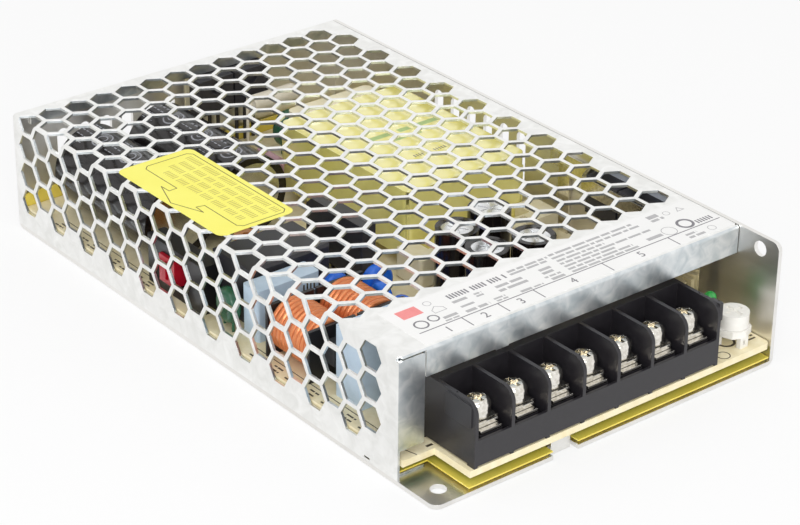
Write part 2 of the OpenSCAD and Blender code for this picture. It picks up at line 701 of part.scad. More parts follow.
// Copper layers: rounded turns side by side along each leg.
module line_filter_windings() color("#c9713d") for (x = filter_x)
    translate([x, filter_y + 0.1, filter_z]) rotate([-90, 0, 0]) rotate_extrude() {
        l = filter_coil_l - 0.2;
        n = 10;
        translate([filter_bore / 2 + 0.4, 0]) square([filter_coil_d / 2 - 0.6 - filter_bore / 2 - 0.4, l]);
        for (i = [0 : n - 1]) translate([filter_coil_d / 2 - 0.75, (i + 0.5) * l / n]) circle(d = l / n, $fn = 16);
    }

// ---------------------------------------------------------------- small components

// Dipped disc with two legs, its face turned by a degrees about z.
module disc(p, d, t, a) translate([p[0], p[1], board_top]) {
    translate([0, 0, d / 2 + 1.6]) rotate([90, 0, a]) rotate_extrude() difference() {
        translate([0, -t / 2]) square([d / 2, t]);
        translate([d / 2, t / 2]) rotate(180) corner_waste(t * 0.42);
        translate([d / 2, -t / 2]) mirror([1, 0]) corner_waste(t * 0.42);
        translate([-1, -t]) square([1, 2 * t]);
    }
    rotate(a) for (s = [-2.2, 2.2]) translate([s, 0, 0]) cylinder(d = 0.7, h = d / 2, $fn = 16);
}

module disc_capacitors() color("#2f6fd6") {
    disc([38.4, 67.5], disc_d + 0.6, 3.4, 0);
    disc([29.2, 71.2], disc_d, 3.2, 0);
    disc([34.6, 61], disc_d, 3, 80);
    disc([34.6, 53.2], disc_d, 3, 100);
}

module thermistor() color("#4d6650") disc([5.2, 78.4], 8.4, 3.2, 80);

module fuse() color("#2d2a28") {
    block([20, 23, board_top], [28.5, 27.2, board_top + 7.6], 0.8);
    for (x = [21.5, 27]) leg(x, 25.1, board_top + eps);
}

module bridge_rectifier() color("#2a292c") {
    difference() {
        block([39, 74, board_top + 2], [43.2, 95, board_top + 16], 0.3);
        translate([41, 95, board_top + 16]) rotate([45, 0, 0]) cube([8, 3, 3], center = true);
    }
    for (i = [0 : 3]) leg(41.1, 77 + i * 5.1, board_top + 2 + eps, 1.1);
}

// Row of moulded packages and the legs below them, standing along x.
module packages(n) for (i = [0 : n - 1]) translate([i * (package_w + 0.6), 0, 0]) {
    difference() {
        cube([package_w, package_t, package_h]);
        translate([package_w / 2, -1, package_h - 2.6]) rotate([-90, 0, 0]) cylinder(d = 3.2, h = 2.2);
    }
    for (s = [-2.54, 0, 2.54]) translate([package_w / 2 + s - 0.4, package_t - 1.4, -package_lift]) cube([0.8, 0.5, package_lift + 0.1]);
}

module primary_transistors() color("#2f2f33") translate([49.8, wall_y - pad_t - 0.1 - package_t, board_top + package_lift])
    packages(2);

module transistor_pad() color("#d8cda6") translate([48.6, wall_y - pad_t - 0.05, board_top + package_lift - 1.4])
    cube([24, pad_t, case_height - rear_flange_h - 0.2 - board_top - package_lift + 1.4]);

module output_rectifiers() color("#5d6068") translate([wall_x - pad_t - 0.1 - package_t, rectifier_y, board_top + package_lift])
    rotate(-90) packages(2);

module rectifier_pad() color("#c9cfd8") translate([wall_x - pad_t - 0.05, rectifier_y - 22.6, board_top + package_lift - 1.4])
    cube([pad_t, 23.4, top_z - 1 - board_top - package_lift + 1.4]);

// Spring strip that presses the two rectifiers against the wall, with a foot on the board.
module rectifier_clip() color("#d5d7d8") {
    face = wall_x - pad_t - 0.1 - package_t;
    back = wall_x - clip_t - 0.05;
    translate([0, 0, board_top + package_lift + 5]) linear_extrude(4) polygon([
        [face - clip_t, rectifier_y - 21.2], [face - clip_t, rectifier_y + 0.8], [back, rectifier_y + 3.8],
        [back, rectifier_y + 17], [back + clip_t, rectifier_y + 17], [back + clip_t, rectifier_y + 3.3],
        [face, rectifier_y + 0.3], [face, rectifier_y - 21.2]]);
    translate([back, rectifier_y + 10, board_top]) cube([clip_t, 4, package_lift + 7]);
}

// Ceramic-cased resistor lying above the board on its two legs.
module ceramic_resistor() color("#efe7d3") {
    z = board_top + 13.4;
    y = wall_y - 9.6;
    translate([62, y, z]) rotate([0, 90, 0]) cylinder(d = 4.4, h = 13);
    for (x = [60.9, 76.1]) leg(x, y, z + 0.4);
    for (x = [60.9, 74.9]) translate([x, y, z]) rotate([0, 90, 0]) cylinder(d = 0.8, h = 1.2, $fn = 16);
}

module green_capacitor() color("#1f6b54") disc([70, wall_y - 14.2], 9.6, 3.6, 14);

module orange_coil() color("#d98a2b") translate([21.2, 93.6, 0]) {
    difference() {
        translate([0, 0, board_top + 1]) cylinder(d = 5.2, h = 10);
        translate([0, 0, board_top + 9.4]) cylinder(d = 2, h = 3);
    }
    translate([0, 0, board_top]) cylinder(d = 6, h = 1 + eps);
    translate([0, 0, board_top + 11 - eps]) difference() {
        cylinder(d = 6, h = 1);
        translate([0, 0, -1]) cylinder(d = 2, h = 3);
    }
}

// Line choke potted in a black box with chamfered top edges.
module line_choke() color("#2c2b2f") difference() {
    block([9, 75.2, board_top], [31, 90, line_choke_top], 0.5);
    for (y = [75.2, 90]) translate([20, y, line_choke_top]) rotate([45, 0, 0]) cube([30, 0.9, 0.9], center = true);
}

module dipped_capacitors() color("#2a6b50") {
    disc([33, 93.8], 8.5, 3.6, 20);
    disc([27.2, 95.2], 8, 3.4, 60);
}

module snubber_resistor() color("#b98f97") {
    z = board_top + 11.4;
    x = tr_x - 3.4;
    translate([x, 119.5, z]) rotate([-90, 0, 0]) cylinder(d = 3.2, h = 8);
    translate([x, 118.4, z]) rotate([-90, 0, 0]) cylinder(d = 0.7, h = 10.2, $fn = 16);
    for (y = [118.4, 128.6]) leg(x, y, z + 0.35, 0.7);
}

module output_choke_core() color("#5a5c50") translate([choke_x, choke_y, board_top]) difference() {
    translate([0, 0, 1.8]) cylinder(d = choke_d - 2.8, h = choke_h - 3.2);
    cylinder(d = choke_d - 9, h = choke_h);
}

// Turns of thick enamelled wire laid round the ring.
module output_choke_winding() color("#8a4a28") translate([choke_x, choke_y, board_top]) {
    ring = choke_d / 2 - 1.4;
    bore = choke_d / 2 - 4.5;
    for (a = [0 : 20 : 330]) rotate(a) difference() {
        translate([bore - 1.2, -0.6, 0]) cube([ring - bore + 2.4, 1.2, choke_h]);
        translate([bore - 0.15, -1, 1.7]) cube([ring - bore + 0.2, 2, choke_h - 3]);
    }
}

// ---------------------------------------------------------------- assembly

centred() chassis();
centred() mesh_cover();
centred() insulating_sheet();
centred() circuit_board();
centred() board_screws();
centred() cover_screws();
centred() rating_label();
centred() yellow_sticker();
centred() terminal_block();
centred() terminal_plates();
centred() terminal_screw(0);  // terminal_screw_1
centred() terminal_screw(1);  // terminal_screw_2
centred() terminal_screw(2);  // terminal_screw_3
centred() terminal_screw(3);  // terminal_screw_4
centred() terminal_screw(4);  // terminal_screw_5
centred() terminal_screw(5);  // terminal_screw_6
centred() terminal_screw(6);  // terminal_screw_7
centred() wire_clamp(0);  // wire_clamp_1
centred() wire_clamp(1);  // wire_clamp_2
centred() wire_clamp(2);  // wire_clamp_3
centred() wire_clamp(3);  // wire_clamp_4
centred() wire_clamp(4);  // wire_clamp_5
centred() wire_clamp(5);  // wire_clamp_6
centred() wire_clamp(6);  // wire_clamp_7
centred() trimmer_base();
centred() trimmer_knob();
centred() status_led();
centred() selector_body();
centred() selector_slider();
centred() transformer_core();
centred() transformer_bobbin();
centred() transformer_winding();
centred() transformer_tape();
centred() input_capacitor_cans();
centred() input_capacitor_sleeves();
centred() output_capacitor_cans();
centred() output_capacitor_sleeves();
centred() film_capacitors();
centred() line_filter_core();
centred() line_filter_bobbin();
centred() line_filter_windings();
centred() disc_capacitors();
centred() thermistor();
centred() fuse();
centred() bridge_rectifier();
centred() primary_transistors();
centred() transistor_pad();
centred() output_rectifiers();
centred() rectifier_pad();
centred() rectifier_clip();
centred() ceramic_resistor();
centred() green_capacitor();
centred() orange_coil();
centred() snubber_resistor();
centred() line_choke();
centred() dipped_capacitors();
centred() output_choke_core();
centred() output_choke_winding();
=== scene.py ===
"""Finishes, print, light and camera for the mesh case power supply.

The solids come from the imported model. Each class below dresses one sub-assembly
of it and adds what is too thin for a solid: the print on the films and the board,
and the marks on the capacitors and the transformer's tape.
"""

import logging
import math
from dataclasses import dataclass, field
from enum import Enum
from typing import Callable, Optional, Sequence

import bmesh
import bpy
from mathutils import Matrix, Vector


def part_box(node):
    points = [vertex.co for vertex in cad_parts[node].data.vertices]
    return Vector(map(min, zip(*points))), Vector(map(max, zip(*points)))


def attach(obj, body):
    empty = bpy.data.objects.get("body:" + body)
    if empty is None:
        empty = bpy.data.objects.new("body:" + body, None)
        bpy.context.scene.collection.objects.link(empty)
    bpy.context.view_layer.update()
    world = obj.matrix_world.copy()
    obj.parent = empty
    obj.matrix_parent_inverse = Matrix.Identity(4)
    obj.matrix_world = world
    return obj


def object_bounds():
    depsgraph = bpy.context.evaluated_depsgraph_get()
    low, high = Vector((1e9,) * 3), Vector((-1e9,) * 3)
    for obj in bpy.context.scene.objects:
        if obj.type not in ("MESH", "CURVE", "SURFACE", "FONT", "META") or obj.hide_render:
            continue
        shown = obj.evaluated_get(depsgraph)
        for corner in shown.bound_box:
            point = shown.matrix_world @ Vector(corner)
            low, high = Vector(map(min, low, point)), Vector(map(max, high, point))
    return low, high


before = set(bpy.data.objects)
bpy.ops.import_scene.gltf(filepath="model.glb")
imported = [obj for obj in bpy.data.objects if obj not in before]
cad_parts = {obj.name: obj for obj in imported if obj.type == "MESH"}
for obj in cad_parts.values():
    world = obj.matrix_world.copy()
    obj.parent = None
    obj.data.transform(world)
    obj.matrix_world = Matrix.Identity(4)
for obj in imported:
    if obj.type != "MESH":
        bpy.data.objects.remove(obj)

CAD_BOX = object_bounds()
LOG = logging.getLogger("power_supply")
MM = 0.001
INK_MM = 0.02
RING_PARTS = 40
Point = tuple[float, float]
Spot = Callable[[float, float], Vector]


# --------------------------------------------------------------------------- #
# Small helpers
# --------------------------------------------------------------------------- #


def linear(code: str) -> tuple[float, float, float, float]:
    """Turns an sRGB hex colour into the linear colour that a shader reads.

    Args:
        code: Six hex digits after a hash sign.

    Returns:
        Red, green, blue and an alpha of one.
    """
    parts = [int(code[i : i + 2], 16) / 255 for i in (1, 3, 5)]
    low = [p / 12.92 if p <= 0.04045 else ((p + 0.055) / 1.055) ** 2.4 for p in parts]
    return (low[0], low[1], low[2], 1.0)


def per_mm(size: float) -> float:
    """Gives the texture scale whose features are size millimetres across."""
    return 1.0 / (size * MM)


def add_node(
    tree: bpy.types.NodeTree,
    kind: str,
    settings: Optional[dict[str, object]] = None,
    values: Optional[dict[object, object]] = None,
    links: Optional[dict[object, bpy.types.NodeSocket]] = None,
) -> bpy.types.Node:
    """Adds one node and sets it up.

    Args:
        tree: The node tree that takes the node.
        kind: The node's type name.
        settings: Attributes of the node.
        values: Values of its inputs, by name or number.
        links: Sockets that feed its inputs, by name or number.

    Returns:
        The new node.
    """
    node = tree.nodes.new(kind)
    for key, value in (settings or {}).items():
        setattr(node, key, value)
    for key, value in (values or {}).items():
        node.inputs[key].default_value = value
    for key, socket in (links or {}).items():
        tree.links.new(socket, node.inputs[key])
    return node


def noise_value(
    tree: bpy.types.NodeTree,
    spot: bpy.types.NodeSocket,
    **values: float,
) -> bpy.types.NodeSocket:
    """Adds a noise texture.

    Args:
        tree: The node tree that takes it.
        spot: The coordinates.
        values: The texture's inputs by name.

    Returns:
        Its value socket.
    """
    noise = add_node(tree, "ShaderNodeTexNoise", values=values, links={"Vector": spot})
    return noise.outputs["Factor" if "Factor" in noise.outputs else "Fac"]


def two_tone(
    tree: bpy.types.NodeTree,
    pattern: bpy.types.NodeSocket,
    dark: str,
    light: str,
) -> bpy.types.NodeSocket:
    """Mixes two colours by a pattern.

    Args:
        tree: The node tree.
        pattern: The mottling, from 0 to 1.
        dark: The colour where it is low.
        light: The colour where it is high.

    Returns:
        A colour socket.
    """
    ramp = add_node(tree, "ShaderNodeValToRGB", links={"Fac": pattern})
    for element, position, code in zip(ramp.color_ramp.elements, (0.3, 0.7), (dark, light)):
        element.position = position
        element.color = linear(code)
    return ramp.outputs["Color"]


def facing_share(tree: bpy.types.NodeTree, axis: str, limit: float) -> bpy.types.NodeSocket:
    """Gives 1 on faces whose normal along an axis is under a limit, and 0 on the others.

    Args:
        tree: The node tree.
        axis: The axis' name.
        limit: The limit of the normal's part along it.

    Returns:
        A value socket.
    """
    normal = add_node(tree, "ShaderNodeNewGeometry").outputs["True Normal"]
    parts = add_node(tree, "ShaderNodeSeparateXYZ", links={"Vector": normal})
    under = add_node(tree, "ShaderNodeMath", {"operation": "LESS_THAN"}, {1: limit}, {0: parts.outputs[axis]})
    return under.outputs["Value"]


def place(x: float, y: float, z: float) -> Vector:
    """Gives a point in the model's frame from millimetres off the case's front left corner."""
    return Vector((CAD_BOX[0].x + x * MM, CAD_BOX[0].y + y * MM, z * MM))


def front_of(node: str) -> float:
    """Gives a solid's front edge in millimetres off the case's front."""
    return (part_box(node)[0].y - CAD_BOX[0].y) / MM


def top_of(node: str) -> Spot:
    """Gives a function that finds points on a solid's top.

    Args:
        node: The solid's name.

    Returns:
        A function of x and y in millimetres.
    """
    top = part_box(node)[1].z

    def at(x: float, y: float) -> Vector:
        found = place(x, y, 0)
        found.z = top
        return found

    return at


# --------------------------------------------------------------------------- #
# Finishes
# --------------------------------------------------------------------------- #


class Grain(Enum):
    """How a surface's fine texture lies."""

    EVEN = "even"
    DRAWN_Y = "drawn along y"
    CLOUDED = "clouded"
    WOUND_Y = "wound round y"


@dataclass(frozen=True)
class Finish:
    """A surface as it left its maker, with textures of a real size."""

    name: str
    colour: str
    tint: str
    mottle_mm: float
    roughness: float
    spread: float = 0.05
    metallic: float = 0.0
    ior: float = 1.5
    grain: Grain = Grain.EVEN
    relief_mm: float = 0.0
    relief_size_mm: float = 1.0
    edge_mm: float = 0.0
    coat: float = 0.0
    transmission: float = 0.0

    def material(self) -> bpy.types.Material:
        """Makes the node material once and then returns the same one.

        Returns:
            The material.
        """
        found = bpy.data.materials.get(self.name)
        if found is not None and found.get("finish_ready"):
            return found
        made = bpy.data.materials.new(self.name)
        made.use_nodes = True
        made["finish_ready"] = True
        tree = made.node_tree
        tree.nodes.clear()
        out = add_node(tree, "ShaderNodeOutputMaterial")
        shader = self.shader(tree)
        tree.links.new(shader, out.inputs["Surface"])
        return made

    def where(self, tree: bpy.types.NodeTree) -> bpy.types.NodeSocket:
        """Gives the coordinates that the grain follows, in metres.

        Args:
            tree: The material's node tree.

        Returns:
            A vector socket.
        """
        spot = add_node(tree, "ShaderNodeTexCoord").outputs["Object"]
        if self.grain is not Grain.DRAWN_Y:
            return spot
        mapped = add_node(tree, "ShaderNodeMapping", links={"Vector": spot})
        mapped.inputs["Scale"].default_value = (1, 0.06, 1)
        return mapped.outputs["Vector"]

    def pattern(self, tree: bpy.types.NodeTree, spot: bpy.types.NodeSocket) -> bpy.types.NodeSocket:
        """Gives the mottling between the two colours, from 0 to 1.

        Args:
            tree: The material's node tree.
            spot: The coordinates.

        Returns:
            A value socket.
        """
        detail, bend = (2.0, 0.8) if self.grain is Grain.CLOUDED else (3.0, 0.0)
        scale = per_mm(self.mottle_mm)
        return noise_value(tree, spot, Scale=scale, Detail=detail, Roughness=0.55, Distortion=bend)

    def base_colour(self, tree: bpy.types.NodeTree, pattern: bpy.types.NodeSocket) -> bpy.types.NodeSocket:
        """Mixes the two colours by the pattern.

        Args:
            tree: The material's node tree.
            pattern: The mottling.

        Returns:
            A colour socket.
        """
        return two_tone(tree, pattern, self.tint, self.colour)

    def normal(self, tree: bpy.types.NodeTree, spot: bpy.types.NodeSocket) -> Optional[bpy.types.NodeSocket]:
        """Gives the relief and the softened edges as a normal.

        Args:
            tree: The material's node tree.
            spot: The coordinates.

        Returns:
            A normal socket, or None where the surface is plain.
        """
        edge = None
        if self.edge_mm:
            bevel = add_node(tree, "ShaderNodeBevel", {"samples": 4}, {"Radius": self.edge_mm * MM})
            edge = bevel.outputs["Normal"]
        if not self.relief_mm:
            return edge
        if self.grain is Grain.WOUND_Y:
            height = add_node(
                tree,
                "ShaderNodeTexWave",
                {"bands_direction": "Y"},
                {"Scale": math.pi / 10 * per_mm(self.relief_size_mm), "Distortion": 0.3, "Detail": 1.0},
                {"Vector": spot},
            ).outputs["Color"]
        else:
            height = noise_value(tree, spot, Scale=per_mm(self.relief_size_mm), Detail=4.0)
        bump = add_node(
            tree,
            "ShaderNodeBump",
            values={"Distance": self.relief_mm * MM, "Strength": 1.0},
            links={"Height": height},
        )
        if edge is not None:
            tree.links.new(edge, bump.inputs["Normal"])
        return bump.outputs["Normal"]

    def shader(self, tree: bpy.types.NodeTree) -> bpy.types.NodeSocket:
        """Builds the surface shader.

        Args:
            tree: The material's node tree.

        Returns:
            A shader socket.
        """
        spot = self.where(tree)
        pattern = self.pattern(tree, spot)
        rough = add_node(
            tree,
            "ShaderNodeMapRange",
            values={
                "To Min": max(0.02, self.roughness - self.spread),
                "To Max": min(1.0, self.roughness + self.spread),
            },
            links={"Value": pattern},
        )
        body = add_node(
            tree,
            "ShaderNodeBsdfPrincipled",
            values={
                "Metallic": self.metallic,
                "IOR": self.ior,
                "Coat Weight": self.coat,
                "Transmission Weight": self.transmission,
            },
            links={"Base Color": self.base_colour(tree, pattern), "Roughness": rough.outputs["Result"]},
        )
        normal = self.normal(tree, spot)
        if normal is not None:
            tree.links.new(normal, body.inputs["Normal"])
        return body.outputs["BSDF"]


@dataclass(frozen=True)
class TwoSidedBoard(Finish):
    """Bare laminate on top with a green solder mask underneath."""

    under: str = "#2f6b3a"

    def base_colour(self, tree: bpy.types.NodeTree, pattern: bpy.types.NodeSocket) -> bpy.types.NodeSocket:
        """Paints the faces that look down green and leaves the others bare."""
        top = super().base_colour(tree, pattern)
        mixed = add_node(
            tree,
            "ShaderNodeMix",
            {"data_type": "RGBA"},
            {7: linear(self.under)},
            {0: facing_share(tree, "Z", -0.5), 6: top},
        )
        return mixed.outputs[2]


@dataclass(frozen=True)
class HoodedSheet(Finish):
    """Zinc-coated sheet with darker, bluer clouds painted as shade on the faces that look to the front."""

    # Painted shade on the faces that look to the front: its light and its dark colour.
    front: str = "#edf0f1"
    front_tint: str = "#c4cdd1"

    def base_colour(self, tree: bpy.types.NodeTree, pattern: bpy.types.NodeSocket) -> bpy.types.NodeSocket:
        """Paints shade into the clouds on the faces that look to the front, darker and bluer there."""
        light = super().base_colour(tree, pattern)
        # Painted shade: the faces that look to the front get darker, bluer clouds.
        deep = two_tone(tree, pattern, self.front_tint, self.front)
        mixed = add_node(
            tree,
            "ShaderNodeMix",
            {"data_type": "RGBA"},
            links={0: facing_share(tree, "Y", -0.6), 6: light, 7: deep},
        )
        return mixed.outputs[2]


class Surface:
    """Every finish on the product, named for what the real surface is."""

    # Bare aluminium sheet: satin, faintly streaked by the mill.
    CHASSIS = Finish(
        "mill_aluminium", "#f1f0ed", "#e6e4e0", 6, 0.38,
        metallic=1.0, grain=Grain.DRAWN_Y, relief_mm=0.003, relief_size_mm=0.8, edge_mm=0.12,
    )
    # Hot-dip zinc on steel: cloudy pale blue-grey patches of several millimetres, with a darker, bluer
    # painted shade on the faces that look to the front.
    COVER = HoodedSheet(
        "galvanised_steel_front_shaded", "#f8f8f6", "#e9e9e6", 3.6, 0.32,
        spread=0.04, metallic=1.0, grain=Grain.CLOUDED, relief_mm=0.004, relief_size_mm=2.4, edge_mm=0.1,
    )
    # Bright zinc and nickel plate on screws.
    PLATED = Finish(
        "bright_plate", "#f2efe8", "#d2cdc2", 0.8, 0.1,
        spread=0.04, metallic=1.0, relief_mm=0.02, relief_size_mm=0.5, edge_mm=0.1,
    )
    # Yellow polyester sheet: smooth, with slow waves.
    SHEET = Finish(
        "yellow_polyester", "#f4de66", "#ead353", 9, 0.2,
        spread=0.04, ior=1.6, relief_mm=0.01, relief_size_mm=6,
    )
    BOARD = TwoSidedBoard(
        "bare_laminate", "#f5ebca", "#eadcb2", 2.5, 0.45,
        spread=0.06, ior=1.55, relief_mm=0.01, relief_size_mm=0.7, edge_mm=0.1,
    )
    LABEL = Finish("white_film", "#ecebea", "#e8e8e6", 8, 0.42, spread=0.03, ior=1.45)
    LABEL_INK = Finish("grey_ink", "#7d7b80", "#727075", 1.5, 0.5, spread=0.04)
    PALE_INK = Finish("pale_grey_ink", "#b4b3b4", "#a9a8a9", 1.5, 0.5, spread=0.04)
    RED_INK = Finish("red_ink", "#ea8f8e", "#e38583", 1.5, 0.5, spread=0.04)
    STICKER = Finish("yellow_film", "#f2ed72", "#efe867", 9, 0.45, spread=0.04, ior=1.4)
    STICKER_INK = Finish("brown_ink", "#bfb257", "#b4a84e", 1.5, 0.5, spread=0.04)
    FINE_INK = Finish("dark_brown_ink", "#5f5228", "#544822", 1.5, 0.5, spread=0.04)
    # Glass-filled thermoplastic: near black, with a fine satin grain.
    BLOCK = Finish(
        "black_terminal_moulding", "#242226", "#1e1c20", 1.8, 0.4,
        ior=1.55, relief_mm=0.006, relief_size_mm=0.35, edge_mm=0.18,
    )
    BLACK = Finish(
        "black_moulding", "#1b1a1d", "#161518", 1.8, 0.36,
        relief_mm=0.006, relief_size_mm=0.4, edge_mm=0.15,
    )
    WHITE = Finish(
        "white_moulding", "#f1efe9", "#e8e6df", 2.5, 0.3,
        spread=0.04, relief_mm=0.004, relief_size_mm=0.5, edge_mm=0.12,
    )
    RED = Finish(
        "red_moulding", "#c11a30", "#ac1428", 2.5, 0.3,
        spread=0.04, relief_mm=0.004, relief_size_mm=0.5, edge_mm=0.12,
    )
    LAMP = Finish("green_epoxy", "#35bb54", "#2dab4a", 2.5, 0.1, spread=0.03, transmission=0.25)
    FERRITE = Finish(
        "ferrite", "#3f4043", "#343538", 1.0, 0.45,
        spread=0.08, relief_mm=0.01, relief_size_mm=0.3, edge_mm=0.15,
    )
    BOBBIN = Finish(
        "cream_moulding", "#f0e8cd", "#e6dcb8", 2.5, 0.4,
        relief_mm=0.005, relief_size_mm=0.5, edge_mm=0.15,
    )
    # Clear yellow polyester tape: its several layers throw back more light than one would.
    TAPE = Finish(
        "yellow_tape", "#faf295", "#f3e981", 9, 0.2,
        ior=2.1, relief_mm=0.015, relief_size_mm=4.5, edge_mm=0.3, coat=0.9,
    )
    CAN = Finish(
        "drawn_aluminium", "#eeeff0", "#dcdddf", 2.0, 0.22,
        spread=0.06, metallic=1.0, relief_mm=0.004, relief_size_mm=0.6, edge_mm=0.12,
    )
    SLEEVE = Finish("dark_shrink_sleeve", "#1d1818", "#161213", 4, 0.16, relief_mm=0.01, relief_size_mm=2.2)
    SLEEVE_INK = Finish("silver_ink", "#a3a5ac", "#94969d", 1.5, 0.45, spread=0.04)
    FILM_BOX = Finish(
        "blue_grey_box", "#cbdff1", "#bfd4e7", 3, 0.33,
        relief_mm=0.005, relief_size_mm=0.6, edge_mm=0.15,
    )
    COPPER = Finish(
        "enamelled_copper", "#ec9763", "#da814f", 2.0, 0.24,
        metallic=0.4, grain=Grain.WOUND_Y, relief_mm=0.025, relief_size_mm=0.5,
    )
    # Fine wire under varnish, dull and pale.
    CHOKE_WIRE = Finish(
        "varnished_wire", "#cdbf95", "#b8aa82", 1.5, 0.35,
        spread=0.06, grain=Grain.WOUND_Y, relief_mm=0.03, relief_size_mm=0.5,
    )
    BLUE_DIP = Finish(
        "blue_dip", "#2f7cf0", "#2468dc", 2.0, 0.18,
        spread=0.04, relief_mm=0.02, relief_size_mm=1.4,
    )
    GREEN_DIP = Finish("dark_green_dip", "#33684d", "#295640", 2.0, 0.25, relief_mm=0.02, relief_size_mm=1.4)
    PACKAGE = Finish(
        "epoxy_package", "#353439", "#2c2b30", 1.2, 0.42,
        spread=0.06, relief_mm=0.01, relief_size_mm=0.3, edge_mm=0.15,
    )
    PAD = Finish("insulating_pad", "#dfd6b6", "#d4caa4", 3, 0.6)
    PALE_PAD = Finish("pale_grey_pad", "#d3d9e4", "#c8cfdb", 3, 0.4)
    CERAMIC = Finish(
        "matt_ceramic", "#f1eada", "#e6decb", 1.5, 0.65,
        spread=0.06, relief_mm=0.01, relief_size_mm=0.4, edge_mm=0.2,
    )
    ORANGE = Finish("orange_tape", "#e0903a", "#d4822c", 3, 0.3, relief_mm=0.02, relief_size_mm=2)
    MAUVE = Finish("mauve_paint", "#b9929b", "#ab848e", 2, 0.4)
    TAPE_INK = Finish("green_ink", "#b4cc8c", "#a8c07f", 1.5, 0.5, spread=0.04)
    BOARD_INK = Finish("dark_legend_ink", "#4d4433", "#40392b", 1.0, 0.6, spread=0.04)


# --------------------------------------------------------------------------- #
# Pieces
# --------------------------------------------------------------------------- #


def dress(node: str, finish: Finish) -> bpy.types.Object:
    """Gives a solid of the model its finish.

    Args:
        node: The solid's name.
        finish: Its finish.

    Returns:
        The solid's object.
    """
    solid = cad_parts[node]
    solid.data.materials.clear()
    solid.data.materials.append(finish.material())
    LOG.info("dressed %s as %s", node, finish.name)
    return solid


def new_piece(
    name: str,
    shape: bmesh.types.BMesh,
    finish: Finish,
    body: str = "case",
) -> bpy.types.Object:
    """Makes an object of a finished shape and fixes it to a body.

    Args:
        name: The piece's name.
        shape: Its mesh in the model's frame; it is freed here.
        finish: Its finish.
        body: The body that carries it.

    Returns:
        The new object.
    """
    mesh = bpy.data.meshes.new(name)
    bmesh.ops.recalc_face_normals(shape, faces=shape.faces)
    shape.to_mesh(mesh)
    shape.free()
    mesh.materials.append(finish.material())
    thing = bpy.data.objects.new(name, mesh)
    bpy.context.scene.collection.objects.link(thing)
    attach(thing, body)
    LOG.info("made %s, %d faces, on %s", name, len(mesh.polygons), body)
    return thing


def add_block(shape: bmesh.types.BMesh, centre: Vector, size: Sequence[float], turn: float = 0.0) -> None:
    """Adds a box to a shape.

    Args:
        shape: The shape that takes the box.
        centre: Its middle.
        size: Its width, length and height in millimetres.
        turn: Its turn about Z in degrees.
    """
    place_it = Matrix.Translation(centre) @ Matrix.Rotation(math.radians(turn), 4, "Z")
    stretch = Matrix.Diagonal((size[0] * MM, size[1] * MM, size[2] * MM, 1.0))
    bmesh.ops.create_cube(shape, size=1.0, matrix=place_it @ stretch)


def add_patch(shape: bmesh.types.BMesh, corner: Vector, width: float, length: float) -> None:
    """Adds a thin patch of ink that lies on a level face.

    Args:
        shape: The shape that takes it.
        corner: Its lower left corner on the face.
        width: Its size along X in millimetres.
        length: Its size along Y in millimetres.
    """
    middle = corner + Vector((width / 2, length / 2, INK_MM / 2)) * MM
    add_block(shape, middle, (width, length, INK_MM))


def add_stroke(shape: bmesh.types.BMesh, at: Spot, points: Sequence[Point], wide: float) -> None:
    """Adds a thin line of ink through points of a level face.

    Args:
        shape: The shape that takes it.
        at: Gives a point of the face from millimetres.
        points: The line's corners in millimetres.
        wide: Its width in millimetres.
    """
    for index, (first, last) in enumerate(zip(points, points[1:])):
        start, end = at(*first), at(*last)
        along = end - start
        # Every second part lies a little higher, so that no two faces fall together.
        lift = Vector((0, 0, (INK_MM / 2 + 0.002 * (index % 2)) * MM))
        turn = math.degrees(math.atan2(along.y, along.x))
        add_block(shape, (start + end) / 2 + lift, (along.length / MM + wide * 0.8, wide, INK_MM), turn)


def add_words(
    shape: bmesh.types.BMesh,
    at: Spot,
    start: Point,
    run: float,
    tall: float,
    along_y: bool = False,
    seed: int = 0,
) -> None:
    """Adds a row of short bars that stand for print.

    Args:
        shape: The shape that takes them.
        at: Gives a point of the face from millimetres.
        start: The row's first corner in millimetres.
        run: The row's length in millimetres.
        tall: The bars' height in millimetres.
        along_y: Whether the row runs along Y.
        seed: Picks the bars' lengths.
    """
    done = 0.0
    step = seed
    while done < run:
        step = (step * 7 + 3) % 11
        long = min((1.5 + 0.45 * step) * tall, run - done)
        if along_y:
            add_patch(shape, at(start[0], start[1] - done - long), tall, long)
        else:
            add_patch(shape, at(start[0] + done, start[1]), long, tall)
        done += long + tall * 0.7


def add_ticks(
    shape: bmesh.types.BMesh,
    at: Spot,
    start: Point,
    run: float,
    tick: tuple[float, float, float],
    along_y: bool = False,
    seed: int = 0,
) -> None:
    """Adds a row of upright ticks in groups, as bold print looks when its words are left off.

    Args:
        shape: The shape that takes them.
        at: Gives a point of the face from millimetres.
        start: The row's first corner in millimetres.
        run: The row's length in millimetres.
        tick: Each tick's height, width and pitch in millimetres.
        along_y: Whether the row runs along Y.
        seed: Picks the groups' lengths.
    """
    tall, wide, pitch = tick
    done = 0.0
    step = seed
    while done + wide < run:
        step = (step * 5 + 2) % 9
        for _ in range(4 + step % 5):
            if done + wide >= run:
                break
            if along_y:
                add_patch(shape, at(start[0], start[1] - done - wide), tall, wide)
            else:
                add_patch(shape, at(start[0] + done, start[1]), wide, tall)
            done += pitch
        done += pitch


